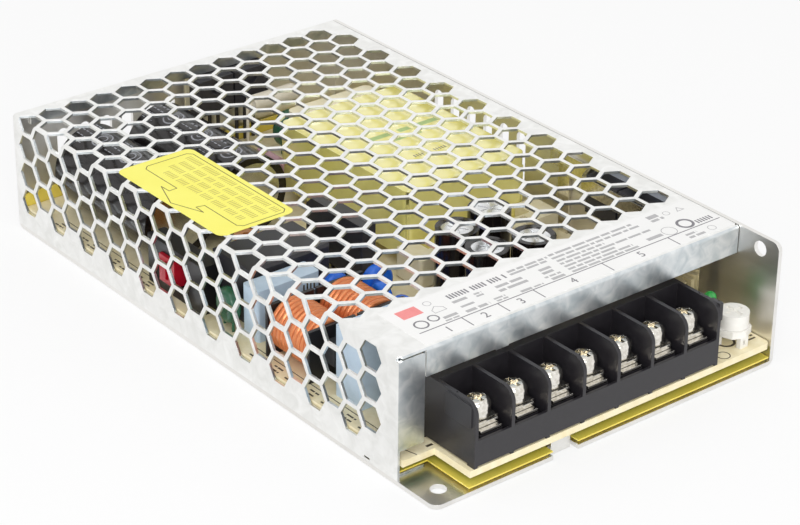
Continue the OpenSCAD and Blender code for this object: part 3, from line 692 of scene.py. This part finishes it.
def add_ring(shape: bmesh.types.BMesh, centre: Point, radii: Point, at: Spot) -> None:
    """Adds a flat ring of ink that follows a face.

    Args:
        shape: The shape that takes it.
        centre: The ring's middle in millimetres.
        radii: Its inner and outer radius in millimetres.
        at: Gives a point of the face from millimetres.
    """
    up = Vector((0, 0, INK_MM * MM))
    rows: list[list[bmesh.types.BMVert]] = []
    for i in range(RING_PARTS):
        a = 2 * math.pi * i / RING_PARTS
        inner, outer = [at(centre[0] + k * math.cos(a), centre[1] + k * math.sin(a)) for k in radii]
        rows.append([shape.verts.new(p) for p in (inner, outer, outer + up, inner + up)])
    for i in range(RING_PARTS):
        this, after = rows[i], rows[(i + 1) % RING_PARTS]
        for k in range(4):
            shape.faces.new((this[k], this[(k + 1) % 4], after[(k + 1) % 4], after[k]))


def add_figure(shape: bmesh.types.BMesh, text: str, at: Vector, height: float) -> None:
    """Adds plain figures, as thin ink that lies on a level face.

    Args:
        shape: The shape that takes them.
        text: The figures.
        at: Their middle on the face.
        height: Their height in millimetres.
    """
    curve = bpy.data.curves.new("figure", "FONT")
    curve.body = text
    curve.align_x = "CENTER"
    curve.align_y = "CENTER"
    # The font's figures are about 0.7 of its size.
    curve.size = height * MM * 1.4
    curve.extrude = INK_MM / 2 * MM
    holder = bpy.data.objects.new("figure", curve)
    bpy.context.scene.collection.objects.link(holder)
    bpy.context.view_layer.update()
    mesh = bpy.data.meshes.new_from_object(holder.evaluated_get(bpy.context.evaluated_depsgraph_get()))
    mesh.transform(Matrix.Translation(at + Vector((0, 0, INK_MM / 2 * MM))))
    shape.from_mesh(mesh)
    bpy.data.objects.remove(holder)
    bpy.data.curves.remove(curve)
    bpy.data.meshes.remove(mesh)


@dataclass
class Case:
    """Chassis, cover, insulating sheet, board and their screws."""

    finishes: dict[str, Finish] = field(
        default_factory=lambda: {
            "chassis": Surface.CHASSIS,
            "mesh_cover": Surface.COVER,
            "insulating_sheet": Surface.SHEET,
            "circuit_board": Surface.BOARD,
            "board_screws": Surface.PLATED,
            "cover_screws": Surface.PLATED,
        }
    )

    # Long lines of the legend: their start along x and y, and their length.
    edge_lines: tuple[tuple[float, float, float], ...] = ((4.5, 21.0, 47.0), (4.5, 108.5, 36.0))
    line_mm: float = 0.22
    # Blocks of words: rows and pitch, then each column's start along x and y, run, height and seed.
    columns: tuple[tuple[int, float, tuple[tuple[float, float, float, float, int], ...]], ...] = (
        (9, 4.6, ((1.6, 145.0, 3.2, 0.42, 0), (2.7, 144.0, 2.4, 0.42, 4))),
        (7, 6.4, ((1.7, 66.0, 4.0, 0.45, 2), (3.0, 65.0, 3.0, 0.45, 5))),
    )
    # Rings: their middle along x and y, inner and outer radius.
    rings: tuple[tuple[float, float, float, float], ...] = (
        (83.4, 2.2, 1.35, 1.6),
        (88.0, 6.2, 1.7, 2.3),
        (88.2, 12.0, 2.2, 2.4),
    )
    stroke: tuple[Point, ...] = ((3.9, 14.9), (4.7, 11.8))
    stroke_mm: float = 0.25
    # Single words: their start along x and y, run, height and seed.
    words: tuple[tuple[float, float, float, float, int], ...] = (
        (8.2, 12.6, 2.2, 0.7, 3),
        (92.6, 3.4, 2.2, 0.5, 926),
        (92.4, 4.6, 2.6, 0.5, 924),
        (93.0, 5.8, 1.8, 0.5, 930),
    )

    def legend(self) -> None:
        """Draws the dark component outlines along the board's edges."""
        at = top_of("circuit_board")
        ink = bmesh.new()
        for x, y, long in self.edge_lines:
            add_patch(ink, at(x, y), self.line_mm, long)
        for rows, pitch, group in self.columns:
            for row in range(rows):
                for x, y, run, tall, seed in group:
                    add_words(ink, at, (x, y - row * pitch), run, tall, True, row + seed)
        for x, y, inner, outer in self.rings:
            add_ring(ink, (x, y), (inner, outer), at)
        add_stroke(ink, at, self.stroke, self.stroke_mm)
        for x, y, run, tall, seed in self.words:
            add_words(ink, at, (x, y), run, tall, seed=seed)
        new_piece("board_legend", ink, Surface.BOARD_INK)

    def build(self) -> None:
        """Dresses the case and adds the board's legend."""
        for node, finish in self.finishes.items():
            dress(node, finish)
        self.legend()


@dataclass
class Labels:
    """The white rating film and the yellow sticker with their bare print."""

    rule_mm: float = 0.26
    rule_y: float = 17.2
    figure_mm: float = 2.3
    first_x: float = 10.7
    pitch: float = 9.75
    # Rows of fine print: their start along x and y, their run and height.
    rows: tuple[tuple[float, float, float, float], ...] = (
        (40.9, 26.1, 11.2, 0.75),
        (40.7, 24.9, 10.2, 0.7),
        (23.2, 22.8, 4.3, 0.9),
        (29.0, 23.0, 2.0, 0.6),
        (28.9, 22.0, 1.9, 0.6),
        (34.6, 22.4, 7.2, 0.9),
        (34.2, 20.7, 8.0, 0.9),
        (46.7, 22.4, 3.2, 0.9),
        (46.4, 20.9, 3.3, 0.9),
        (45.6, 19.4, 4.4, 0.6),
        (46.4, 17.9, 3.6, 0.9),
        (23.0, 18.1, 6.4, 0.95),
        (23.4, 20.4, 3.5, 0.7),
        (31.0, 18.9, 3.0, 0.55),
        (31.0, 17.9, 3.0, 0.55),
        (37.6, 17.8, 3.0, 0.8),
        (41.2, 17.9, 2.6, 0.5),
        (52.8, 26.4, 24.2, 0.75),
        (52.5, 24.9, 25.4, 0.7),
        (52.6, 23.4, 13.6, 0.7),
        (52.3, 22.0, 26.4, 0.7),
        (52.3, 20.6, 14.6, 0.7),
        (52.1, 19.2, 18.6, 0.7),
        (52.1, 17.9, 19.4, 0.7),
        (74.8, 18.6, 4.4, 1.1),
        (81.6, 24.5, 3.6, 0.9),
        (81.8, 25.9, 3.0, 1.4),
        (83.0, 15.3, 3.2, 0.7),
        (82.9, 13.9, 4.6, 0.8),
        (17.6, 18.9, 3.6, 0.9),
        (17.2, 17.9, 3.6, 0.5),
    )

    rule_ends: Point = (9.6, 95.0)
    front_margin: float = 0.3
    # Edges and middles of the numbered fields, in terminal pitches from the first.
    field_edges: tuple[int, ...] = (1, 2, 3, 5, 7)
    field_middles: tuple[float, ...] = (0.5, 1.5, 2.5, 4.0, 6.0)
    figure_y: float = 15.1
    # Rows of bold ticks: their start along x and y, run, seed and each tick's height, width and pitch.
    ticks: tuple[tuple[float, float, float, int, tuple[float, float, float]], ...] = (
        (23.8, 24.7, 16.3, 3, (1.8, 0.42, 0.8)),
        (89.4, 18.1, 5.0, 4, (1.6, 0.4, 0.8)),
    )
    # Rings: their middle along x and y, inner and outer radius.
    dark_rings: tuple[tuple[float, float, float, float], ...] = (
        (86.9, 19.9, 1.5, 2.15),
        (12.2, 20.0, 1.3, 1.7),
        (15.9, 20.6, 1.0, 1.35),
    )
    pale_rings: tuple[tuple[float, float, float, float], ...] = (
        (81.6, 19.4, 1.7, 1.88),
        (18.7, 26.2, 0.8, 0.95),
        (90.2, 14.9, 0.9, 1.05),
        (87.0, 26.0, 0.75, 0.9),
    )
    # Closed outlines: their width and corners.
    outlines: tuple[tuple[float, tuple[Point, ...]], ...] = (
        (0.16, ((17.6, 22.0), (20.6, 22.0), (20.6, 23.2), (19.1, 24.4), (17.6, 23.2), (17.6, 22.0))),
        (0.18, ((89.7, 25.2), (91.7, 25.2), (90.7, 26.7), (89.7, 25.2))),
    )
    red_field: tuple[float, float, float, float] = (10.6, 23.6, 5.2, 3.4)
    # The sticker's frame: its left, right, near and far lines, and how far its corners are cut.
    frame_lines: tuple[float, float, float, float] = (8.25, 21.3, 77.9, 115.6)
    frame_cut: float = 1.1
    frame_mm: float = 0.2
    # Where the arrow leaves the frame's left line, and its corners between those two places.
    arrow_feet: Point = (91.2, 102.1)
    arrow: tuple[Point, ...] = ((6.3, 91.7), (6.1, 88.6), (3.0, 96.8), (6.0, 105.0), (6.1, 102.0))
    # The sticker's rows of ticks: run and start along y; the first row's x, and the rows' pitch.
    sticker_rows: tuple[Point, ...] = ((30, 110.5), (33, 112.5), (33, 112.5), (35, 113.8))
    sticker_row_x: Point = (10.2, 2.8)
    sticker_tick: tuple[float, float, float] = (1.7, 0.24, 0.72)

    def rating(self) -> None:
        """Draws the rating film's rules, rows of bars, rings and terminal numbers."""
        at = top_of("rating_label")
        front = front_of("rating_label") + self.front_margin
        rules = bmesh.new()
        pale = bmesh.new()
        start, end = self.rule_ends
        add_patch(rules, at(start, self.rule_y), end - start, self.rule_mm)
        for edge in self.field_edges:
            add_patch(rules, at(self.first_x + edge * self.pitch, front), self.rule_mm, self.rule_y - front)
        for number, middle in enumerate(self.field_middles, start=1):
            spot = at(self.first_x + middle * self.pitch, self.figure_y)
            add_figure(rules, str(number), spot, self.figure_mm)
        for x, y, run, seed, tick in self.ticks:
            add_ticks(rules, at, (x, y), run, tick, seed=seed)
        for row, (x, y, run, tall) in enumerate(self.rows):
            add_words(pale, at, (x, y), run, tall, seed=row)
        for ink, rings in ((rules, self.dark_rings), (pale, self.pale_rings)):
            for x, y, inner, outer in rings:
                add_ring(ink, (x, y), (inner, outer), at)
        for wide, corners in self.outlines:
            add_stroke(pale, at, corners, wide)
        new_piece("rating_print", rules, Surface.LABEL_INK)
        new_piece("rating_fine_print", pale, Surface.PALE_INK)
        red = bmesh.new()
        x, y, wide, long = self.red_field
        add_patch(red, at(x, y), wide, long)
        new_piece("rating_colour_field", red, Surface.RED_INK)

    def sticker(self) -> None:
        """Draws the sticker's thin frame, its bare arrow and rows of ticks."""
        at = top_of("yellow_sticker")
        left, right, near, far = self.frame_lines
        cut = self.frame_cut
        foot, head = self.arrow_feet
        outline = [(left, foot), (left, near + cut), (left + cut, near), (right - cut, near)]
        outline += [(right, near + cut), (right, far - cut), (right - cut, far)]
        outline += [(left + cut, far), (left, far - cut), (left, head)]
        lines = bmesh.new()
        add_stroke(lines, at, outline, self.frame_mm)
        add_stroke(lines, at, [(left, foot), *self.arrow, (left, head)], self.frame_mm)
        new_piece("sticker_frame", lines, Surface.FINE_INK)
        ink = bmesh.new()
        first, pitch = self.sticker_row_x
        for row, (run, start) in enumerate(self.sticker_rows):
            add_ticks(ink, at, (first + row * pitch, start), run, self.sticker_tick, True, row + 1)
        new_piece("sticker_print", ink, Surface.STICKER_INK)

    def build(self) -> None:
        """Dresses both films and draws their print."""
        dress("rating_label", Surface.LABEL)
        dress("yellow_sticker", Surface.STICKER)
        self.rating()
        self.sticker()


@dataclass
class TerminalRow:
    """The terminal block with its plates, screws and clamps."""

    count: int = 7

    def build(self) -> None:
        """Dresses the moulding and each terminal's metal."""
        dress("terminal_block", Surface.BLOCK)
        dress("terminal_plates", Surface.PLATED)
        for i in range(1, self.count + 1):
            dress(f"terminal_screw_{i}", Surface.PLATED)
            dress(f"wire_clamp_{i}", Surface.PLATED)


@dataclass
class Controls:
    """Trimmer, lamp and voltage selector."""

    def build(self) -> None:
        """Dresses the controls."""
        for node, finish in (
            ("trimmer_base", Surface.WHITE),
            ("trimmer_knob", Surface.WHITE),
            ("status_led", Surface.LAMP),
            ("selector_body", Surface.BLACK),
            ("selector_slider", Surface.RED),
        ):
            dress(node, finish)


@dataclass
class PowerParts:
    """The components on the board and on the walls."""

    finishes: dict[str, Finish] = field(
        default_factory=lambda: {
            "transformer_core": Surface.TAPE,
            "transformer_bobbin": Surface.BOBBIN,
            "transformer_winding": Surface.TAPE,
            "transformer_tape": Surface.TAPE,
            "input_capacitor_cans": Surface.CAN,
            "input_capacitor_sleeves": Surface.SLEEVE,
            "output_capacitor_cans": Surface.CAN,
            "output_capacitor_sleeves": Surface.SLEEVE,
            "film_capacitors": Surface.FILM_BOX,
            "line_filter_core": Surface.FERRITE,
            "line_filter_bobbin": Surface.BLACK,
            "line_filter_windings": Surface.COPPER,
            "disc_capacitors": Surface.BLUE_DIP,
            "thermistor": Surface.GREEN_DIP,
            "fuse": Surface.BLACK,
            "bridge_rectifier": Surface.PACKAGE,
            "primary_transistors": Surface.PACKAGE,
            "transistor_pad": Surface.PAD,
            "output_rectifiers": Surface.PACKAGE,
            "rectifier_pad": Surface.PALE_PAD,
            "rectifier_clip": Surface.PLATED,
            "ceramic_resistor": Surface.CERAMIC,
            "green_capacitor": Surface.GREEN_DIP,
            "orange_coil": Surface.ORANGE,
            "snubber_resistor": Surface.MAUVE,
            "line_choke": Surface.PACKAGE,
            "dipped_capacitors": Surface.GREEN_DIP,
            "output_choke_core": Surface.FERRITE,
            "output_choke_winding": Surface.CHOKE_WIRE,
        }
    )
    # The film capacitor's ticks: the first one's place, their pitch, width and depth,
    # and each one's height.
    film_mark: tuple[float, float, float] = (18.6, 68.5, 15.6)
    film_ticks: tuple[float, float, float] = (0.95, 0.42, 0.03)
    film_heights: tuple[float, ...] = (1.5, 1.9, 1.5, 1.9)
    # Rows of print on the transformer: their start along x and y, their run and height.
    tape_rows: tuple[tuple[float, float, float, float], ...] = (
        (64.0, 101.6, 21.0, 1.7),
        (64.6, 98.4, 12.0, 1.0),
    )
    tape_ticks: tuple[float, float, float] = (66.6, 88.6, 9.6)
    tape_tick: tuple[float, float, float] = (1.2, 0.3, 0.75)
    # The sleeves' marks repeat along y: how many times and how far apart.
    sleeve_repeat: tuple[int, float] = (3, 12)
    sleeve_ring_at: Point = (-1.5, 6)
    sleeve_rings: tuple[Point, ...] = ((2.3, 2.65), (1.1, 1.4))
    # Bars: the first one's place, rows across and their pitch, parts along and their pitch, and size.
    sleeve_bar_at: Point = (-5.2, 10.4)
    sleeve_bar_rows: tuple[int, float] = (5, 1.7)
    sleeve_bar_parts: tuple[int, float] = (3, 1.5)
    sleeve_bar: tuple[float, float, float] = (0.55, 1.0, 0.03)

    def sleeve_marks(self) -> None:
        """Prints rings and bars that follow the round of the two input capacitors."""
        low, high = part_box("input_capacitor_sleeves")
        radius = (high.z - low.z) / 2
        axis_z = (high.z + low.z) / 2
        front = front_of("input_capacitor_sleeves")
        times, step_mm = self.sleeve_repeat
        rows, row_mm = self.sleeve_bar_rows
        parts, part_mm = self.sleeve_bar_parts
        ring_x, ring_y = self.sleeve_ring_at
        bar_x, bar_y = self.sleeve_bar_at
        ink = bmesh.new()
        for middle in (low.x + radius, high.x - radius):
            across = (middle - CAD_BOX[0].x) / MM

            def on_can(x: float, y: float, across: float = across) -> Vector:
                side = min(abs(x - across) * MM, radius * 0.98)
                spot = place(x, y, 0)
                spot.z = axis_z + math.sqrt(radius * radius - side * side)
                return spot

            for step in range(times):
                for radii in self.sleeve_rings:
                    add_ring(ink, (across + ring_x, front + ring_y + step * step_mm), radii, on_can)
                for row in range(rows):
                    for part in range(parts):
                        y = front + bar_y + step * step_mm + part * part_mm
                        add_block(ink, on_can(across + bar_x + row * row_mm, y), self.sleeve_bar)
        new_piece("sleeve_print", ink, Surface.SLEEVE_INK)

    def tape_marks(self) -> None:
        """Prints rows of pale bars and a short row of dark ticks on the transformer's top tape."""
        at = top_of("transformer_tape")
        ink = bmesh.new()
        for row, (x, y, run, tall) in enumerate(self.tape_rows):
            add_words(ink, at, (x, y), run, tall, seed=row + 2)
        new_piece("tape_print", ink, Surface.TAPE_INK)
        fine = bmesh.new()
        x, y, run = self.tape_ticks
        add_ticks(fine, at, (x, y), run, self.tape_tick, seed=2)
        new_piece("tape_fine_print", fine, Surface.LABEL_INK)

    def film_marks(self) -> None:
        """Prints a short group of dark ticks on the rear film capacitor's front."""
        ink = bmesh.new()
        x, y, z = self.film_mark
        pitch, wide, deep = self.film_ticks
        for step, tall in enumerate(self.film_heights):
            add_block(ink, place(x + step * pitch, y, z), (wide, deep, tall))
        new_piece("film_print", ink, Surface.BOARD_INK)

    def build(self) -> None:
        """Dresses every component and prints its marks."""
        for node, finish in self.finishes.items():
            dress(node, finish)
        self.tape_marks()
        self.film_marks()
        self.sleeve_marks()


# --------------------------------------------------------------------------- #
# Studio
# --------------------------------------------------------------------------- #


@dataclass(frozen=True)
class Lamp:
    """A soft box."""

    name: str
    at: tuple[float, float, float]
    aim: tuple[float, float, float]
    size: float
    watts: float

    def light(self) -> None:
        """Hangs the lamp and points it."""
        data = bpy.data.lights.new(self.name, "AREA")
        data.shape = "SQUARE"
        data.size = self.size
        data.energy = self.watts
        lamp = bpy.data.objects.new(self.name, data)
        lamp.location = self.at
        lamp.rotation_euler = (Vector(self.aim) - Vector(self.at)).to_track_quat("-Z", "Y").to_euler()
        bpy.context.scene.collection.objects.link(lamp)


@dataclass
class Studio:
    """White sweep, soft boxes and the camera."""

    lamps: tuple[Lamp, ...] = (
        Lamp("key_softbox", (-0.25, -0.15, 0.9), (0.0, 0.0, 0.0), 0.5, 1.5),
        Lamp("front_softbox", (-0.66, -0.82, 0.6), (0.0, -0.02, 0.02), 0.6, 7.0),
    )
    camera_at: tuple[float, float, float] = (-0.328093, -0.411469, 0.286271)
    azimuth: float = 39.096
    elevation: float = 27.888
    roll: float = 0.7196
    lens: float = 115.79
    # How strongly the surround lights, and how bright it looks.
    surround: Point = (0.74, 0.98)
    # The floor's own glow, and its share where the floor is looked at.
    floor_glow: float = 0.97
    glow_share: float = 0.75
    floor_half: float = 3.0
    floor_drop: float = 0.0002

    def seen(self, tree: bpy.types.NodeTree) -> bpy.types.NodeSocket:
        """Gives 1 for rays that see a white surround and 0 for those that only light.

        Args:
            tree: A node tree.

        Returns:
            A value socket.
        """
        path = add_node(tree, "ShaderNodeLightPath")
        first = add_node(
            tree,
            "ShaderNodeMath",
            {"operation": "MAXIMUM"},
            links={0: path.outputs["Is Camera Ray"], 1: path.outputs["Is Glossy Ray"]},
        )
        both = add_node(
            tree,
            "ShaderNodeMath",
            {"operation": "MAXIMUM"},
            links={0: first.outputs["Value"], 1: path.outputs["Is Transmission Ray"]},
        )
        return both.outputs["Value"]

    def world(self) -> None:
        """Makes a surround that looks white and lights softly."""
        world = bpy.data.worlds.new("surround")
        bpy.context.scene.world = world
        world.use_nodes = True
        tree = world.node_tree
        tree.nodes.clear()
        fill, white = self.surround
        strength = add_node(
            tree,
            "ShaderNodeMapRange",
            values={"To Min": fill, "To Max": white},
            links={"Value": self.seen(tree)},
        )
        sky = add_node(
            tree,
            "ShaderNodeBackground",
            values={"Color": (1, 1, 1, 1)},
            links={"Strength": strength.outputs["Result"]},
        )
        out = add_node(tree, "ShaderNodeOutputWorld")
        tree.links.new(sky.outputs["Background"], out.inputs["Surface"])

    def floor(self) -> None:
        """Lays a white floor that keeps the shadow."""
        shape = bmesh.new()
        bmesh.ops.create_grid(shape, x_segments=1, y_segments=1, size=self.floor_half)
        mesh = bpy.data.meshes.new("floor")
        shape.to_mesh(mesh)
        shape.free()
        paint = bpy.data.materials.new("white_paper")
        paint.use_nodes = True
        tree = paint.node_tree
        tree.nodes.clear()
        diffuse = add_node(tree, "ShaderNodeBsdfDiffuse", values={"Color": linear("#f4f4f4")})
        light = {"Color": (1, 1, 1, 1), "Strength": self.floor_glow}
        glow = add_node(tree, "ShaderNodeEmission", values=light)
        seen = self.seen(tree)
        share = add_node(tree, "ShaderNodeMath", {"operation": "MULTIPLY"}, {1: self.glow_share}, {0: seen})
        mixed = add_node(
            tree,
            "ShaderNodeMixShader",
            links={0: share.outputs["Value"], 1: diffuse.outputs["BSDF"], 2: glow.outputs["Emission"]},
        )
        out = add_node(tree, "ShaderNodeOutputMaterial")
        tree.links.new(mixed.outputs["Shader"], out.inputs["Surface"])
        mesh.materials.append(paint)
        sheet = bpy.data.objects.new("floor", mesh)
        sheet.location.z = -self.floor_drop
        bpy.context.scene.collection.objects.link(sheet)

    def camera(self) -> None:
        """Sets the camera up."""
        data = bpy.data.cameras.new("camera")
        data.sensor_fit = "HORIZONTAL"
        data.sensor_width = 36.0
        data.lens = self.lens
        data.clip_start = 0.01
        data.clip_end = 50.0
        eye = bpy.data.objects.new("camera", data)
        turn = (
            Matrix.Rotation(math.radians(-self.azimuth), 4, "Z")
            @ Matrix.Rotation(math.radians(90 - self.elevation), 4, "X")
            @ Matrix.Rotation(math.radians(self.roll), 4, "Z")
        )
        eye.matrix_world = Matrix.Translation(self.camera_at) @ turn
        bpy.context.scene.collection.objects.link(eye)
        bpy.context.scene.camera = eye

    def build(self) -> None:
        """Sets up the light, the floor and the camera."""
        bpy.context.scene.view_settings.view_transform = "Standard"
        self.world()
        self.floor()
        for lamp in self.lamps:
            lamp.light()
        self.camera()


def main() -> None:
    """Builds every sub-assembly in order."""
    logging.basicConfig(level=logging.INFO, format="%(message)s")
    for part in (Studio(), Case(), Labels(), TerminalRow(), Controls(), PowerParts()):
        LOG.info("building %s", type(part).__name__)
        part.build()


if __name__ == "__main__":
    main()
